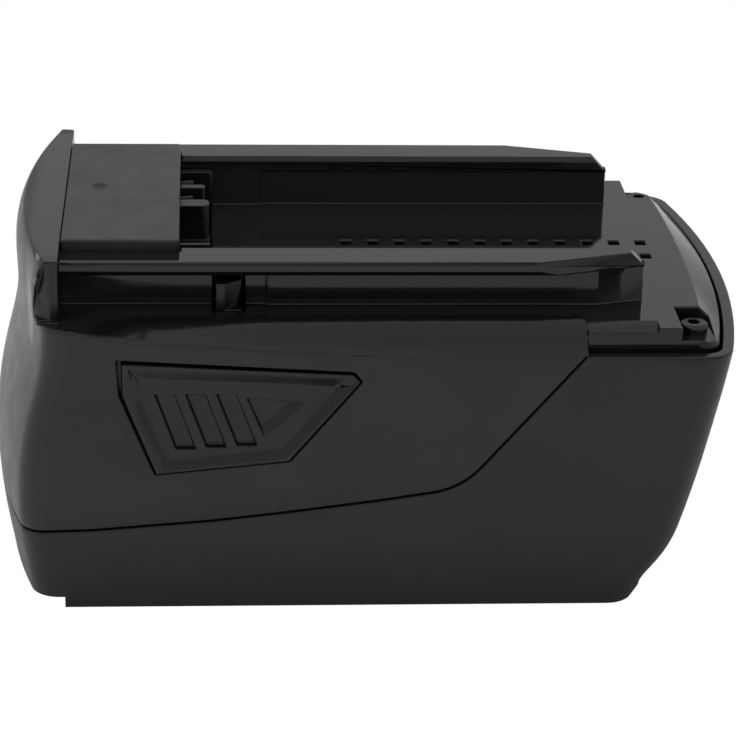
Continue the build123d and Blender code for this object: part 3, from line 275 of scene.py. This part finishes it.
# Terminal block and contacts
# A comb of glass-filled nylon; forks of tinned spring copper sit between its fins. The forks' metal
# is painted darker than tinned copper, as painted shade between the fins under the cover.
BLOCK_COLOUR = (0.005, 0.005, 0.0052)
BLOCK_ROUGHNESS = 0.3
BLOCK_EDGE = 0.18 * MM
block_plastic = moulded("block_plastic", BLOCK_COLOUR, BLOCK_ROUGHNESS)
contact_comb = softened("terminal_block", "contact_comb", BLOCK_EDGE)
dress(contact_comb, block_plastic)
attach(contact_comb, "root")
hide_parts("terminal_block")

STREAK = 0.2 * MM
STAIN = 4 * MM
STAIN_SHADE = 0.85
BRUSHED_RELIEF = 0.6
BRUSHED_DEPTH = 0.003 * MM


def metal(name, colour, rough, brushed=(1.0, 1.0, 1.0)):
    """Drawn or rolled metal: fine streaks along one axis change its gloss and relief."""
    material, tree, shader, place = nodes_of(name)
    shader.inputs["Metallic"].default_value = 1.0
    streaks = grain(tree, place, STREAK, 3.0, brushed)
    stains = spread(tree, grain(tree, place, STAIN, 3.0), 0.0, 1.0)
    blend = tree.nodes.new("ShaderNodeMix")
    blend.data_type = "RGBA"
    tree.links.new(stains, blend.inputs["Factor"])
    blend.inputs["A"].default_value = (*[c * STAIN_SHADE for c in colour], 1)
    blend.inputs["B"].default_value = (*colour, 1)
    tree.links.new(blend.outputs["Result"], shader.inputs["Base Color"])
    uneven = spread(tree, streaks, rough * 0.8, rough * 1.25)
    tree.links.new(uneven, shader.inputs["Roughness"])
    bump = tree.nodes.new("ShaderNodeBump")
    bump.inputs["Strength"].default_value = BRUSHED_RELIEF
    bump.inputs["Distance"].default_value = BRUSHED_DEPTH
    tree.links.new(streaks, bump.inputs["Height"])
    tree.links.new(bump.outputs["Normal"], shader.inputs["Normal"])
    return material


# The tinned copper is given a darker colour than its own: painted shade where the forks lie between
# the fins under the cover.
contact_metal_painted_shade = metal("contact_metal_painted_shade", (0.3, 0.28, 0.25), 0.38, (1.0, 1.0, 6.0))
for node in ("terminal_plus", "terminal_data", "terminal_minus"):
    dress(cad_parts[node], contact_metal_painted_shade)

# Release buttons
# Dished buttons with grip slots, moulded with the arm that ends in the latch hook.
BUTTON_COLOUR = (0.003, 0.0032, 0.0031)
BUTTON_ROUGHNESS = 0.27
BUTTON_EDGE = 0.22 * MM
button_plastic = moulded("button_plastic", BUTTON_COLOUR, BUTTON_ROUGHNESS)
for side in ("near", "far"):
    button = softened(f"release_button_{side}", f"release_key_{side}", BUTTON_EDGE)
    dress(button, button_plastic)
    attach(button, f"release_button_{side}")
    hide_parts(f"release_button_{side}")

# Screws, springs and cell strips
# Black-zinc screws in the nose pockets and the heel, and drawn steel wire for the springs.
# The strips that join the cells are rolled nickel.
screw_metal = metal("screw_metal", (0.07, 0.07, 0.074), 0.22)
spring_metal = metal("spring_metal", (0.6, 0.6, 0.6), 0.25)
nickel_metal = metal("nickel_metal", (0.66, 0.64, 0.6), 0.32, (1.0, 8.0, 8.0))
for node in ("housing_screws", "board_screws"):
    dress(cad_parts[node], screw_metal)
for node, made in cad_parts.items():
    if node.startswith("button_spring"):
        dress(made, spring_metal)
    if node.startswith("busbar"):
        dress(made, nickel_metal)

# Cells, holders and what is round them
# Sleeved cells in combs of black plastic, with fibre sheets over the strips.
sleeve = moulded("cell_sleeve", (0.05, 0.2, 0.13), 0.22, pit=0.6 * MM, depth=0.002 * MM, tint=0.1)
comb = moulded("comb_plastic", (0.03, 0.03, 0.032), 0.5)
fibre = moulded("fibre_sheet", (0.5, 0.42, 0.26), 0.7, pit=0.15 * MM, depth=0.01 * MM, tint=0.12)
rubber = moulded("damper_rubber", (0.02, 0.02, 0.02), 0.75, pit=0.2 * MM, depth=0.01 * MM)
for node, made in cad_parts.items():
    if node.startswith("cell_holder"):
        dress(made, comb)
    elif node.startswith("cell_"):
        dress(made, sleeve)
    elif node.startswith("insulation"):
        dress(made, fibre)
dress(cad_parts["rear_dampers"], rubber)

# Circuit board and indicator
# Green solder mask over glass fibre; the parts on it are moulded epoxy and ceramic.
mask = moulded("solder_mask", (0.02, 0.12, 0.05), 0.3, pit=0.5 * MM, depth=0.004 * MM, tint=0.15)
epoxy = moulded("component_epoxy", (0.03, 0.03, 0.033), 0.45)
ceramic = moulded("ceramic", (0.3, 0.24, 0.17), 0.5)
ribbon_film = moulded("ribbon_film", (0.6, 0.6, 0.57), 0.4, pit=0.8 * MM, depth=0.003 * MM)
smoked = moulded("smoked_lens", (0.008, 0.008, 0.009), 0.12, pit=1.2 * MM, depth=0.001 * MM)
light = moulded("light_epoxy", (0.6, 0.62, 0.55), 0.3)
wearers = {
    "circuit_board": mask,
    "indicator_board": mask,
    "power_switches": epoxy,
    "controller_chip": epoxy,
    "charge_switch": epoxy,
    "ribbon_socket": epoxy,
    "fuse": epoxy,
    "thermistor": epoxy,
    "capacitors": ceramic,
    "current_shunt": ceramic,
    "indicator_ribbon": ribbon_film,
    "indicator_lens": smoked,
    "indicator_lights": light,
}
for node, material in wearers.items():
    dress(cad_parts[node], material)

# Studio
# A pale floor that the camera sees as white, and a white surround that is dimmer in
# mirrors, most of all near the horizon. Two soft lamps light it, and mirrors don't show them.
FLOOR_REACH = 3.0
FLOOR_TONE = (0.62, 0.62, 0.62, 1)
BLACK = (0.0, 0.0, 0.0, 1)
WHITE = (1, 1, 1, 1)
AMBIENT_LIGHT = 0.6
HORIZON_LIGHT = 0.3
SKY_LIGHT = 0.55
SKY_START = 0.33
floor_corners = [
    (-FLOOR_REACH, -FLOOR_REACH, 0),
    (FLOOR_REACH, -FLOOR_REACH, 0),
    (FLOOR_REACH, FLOOR_REACH, 0),
    (-FLOOR_REACH, FLOOR_REACH, 0),
]
floor_mesh = bpy.data.meshes.new("floor")
floor_mesh.from_pydata(floor_corners, [], [(0, 1, 2, 3)])
floor = bpy.data.objects.new("floor", floor_mesh)
bpy.context.scene.collection.objects.link(floor)
floor_paint, tree, shader, place = nodes_of("floor_paint")
shader.inputs["Roughness"].default_value = 0.9
shader.inputs["Specular IOR Level"].default_value = 0.0
shader.inputs["Emission Color"].default_value = WHITE
path = tree.nodes.new("ShaderNodeLightPath")
tone = tree.nodes.new("ShaderNodeMix")
tone.data_type = "RGBA"
tone.inputs["A"].default_value = FLOOR_TONE
tone.inputs["B"].default_value = BLACK
tree.links.new(path.outputs["Is Camera Ray"], tone.inputs["Factor"])
tree.links.new(tone.outputs["Result"], shader.inputs["Base Color"])
tree.links.new(path.outputs["Is Camera Ray"], shader.inputs["Emission Strength"])
floor.data.materials.append(floor_paint)

surround = bpy.data.worlds.new("surround")
surround.use_nodes = True
bpy.context.scene.world = surround
tree = surround.node_tree
sky = tree.nodes["Background"]
path = tree.nodes.new("ShaderNodeLightPath")
direction = tree.nodes.new("ShaderNodeTexCoord")
height = tree.nodes.new("ShaderNodeSeparateXYZ")
tree.links.new(direction.outputs["Generated"], height.inputs["Vector"])
mirrored = tree.nodes.new("ShaderNodeMix")
mirrored.inputs["A"].default_value = AMBIENT_LIGHT
glow = spread(tree, height.outputs["Z"], HORIZON_LIGHT, SKY_LIGHT, 0.0, SKY_START)
tree.links.new(glow, mirrored.inputs["B"])
tree.links.new(path.outputs["Is Glossy Ray"], mirrored.inputs["Factor"])
strength = tree.nodes.new("ShaderNodeMix")
strength.inputs["B"].default_value = 1.0
tree.links.new(mirrored.outputs["Result"], strength.inputs["A"])
tree.links.new(path.outputs["Is Camera Ray"], strength.inputs["Factor"])
tree.links.new(strength.outputs["Result"], sky.inputs["Strength"])
sky.inputs["Color"].default_value = WHITE

LAMP_AIM = (0, 0, 0.03)


def lamp(name, place, size, power):
    """A square soft lamp at place, turned towards the pack."""
    data = bpy.data.lights.new(name, "AREA")
    data.size = size
    data.energy = power
    made = bpy.data.objects.new(name, data)
    bpy.context.scene.collection.objects.link(made)
    made.location = place
    made.visible_glossy = False
    made.rotation_euler = (Vector(LAMP_AIM) - Vector(place)).to_track_quat("-Z", "Y").to_euler()


lamp("top_lamp", (-0.1, 0.15, 0.9), size=0.7, power=5.0)
lamp("side_lamp", (-0.8, -0.5, 0.55), size=0.5, power=3.0)

CAMERA_RISE = radians(23.52)
CAMERA_TURN = radians(3.93)
CAMERA_ROLL = radians(1.45)
CAMERA_TARGET = Vector((1.27, 0.0, 27.69)) * MM
CAMERA_DISTANCE = 487.6 * MM
view = bpy.data.cameras.new("view")
view.sensor_width = 36.0
view.lens = 132.1
view.clip_start = 0.01
camera = bpy.data.objects.new("view", view)
bpy.context.scene.collection.objects.link(camera)
level = cos(CAMERA_RISE)
back = Vector((-sin(CAMERA_TURN) * level, -cos(CAMERA_TURN) * level, sin(CAMERA_RISE)))
right = Vector((0, 0, 1)).cross(back).normalized()
up = back.cross(right)
across = right * cos(CAMERA_ROLL) + up * sin(CAMERA_ROLL)
upward = up * cos(CAMERA_ROLL) - right * sin(CAMERA_ROLL)
turned = Matrix((across, upward, back)).transposed().to_4x4()
camera.matrix_world = Matrix.Translation(CAMERA_TARGET + back * CAMERA_DISTANCE) @ turned
bpy.context.scene.camera = camera
bpy.context.scene.view_settings.view_transform = "Standard"
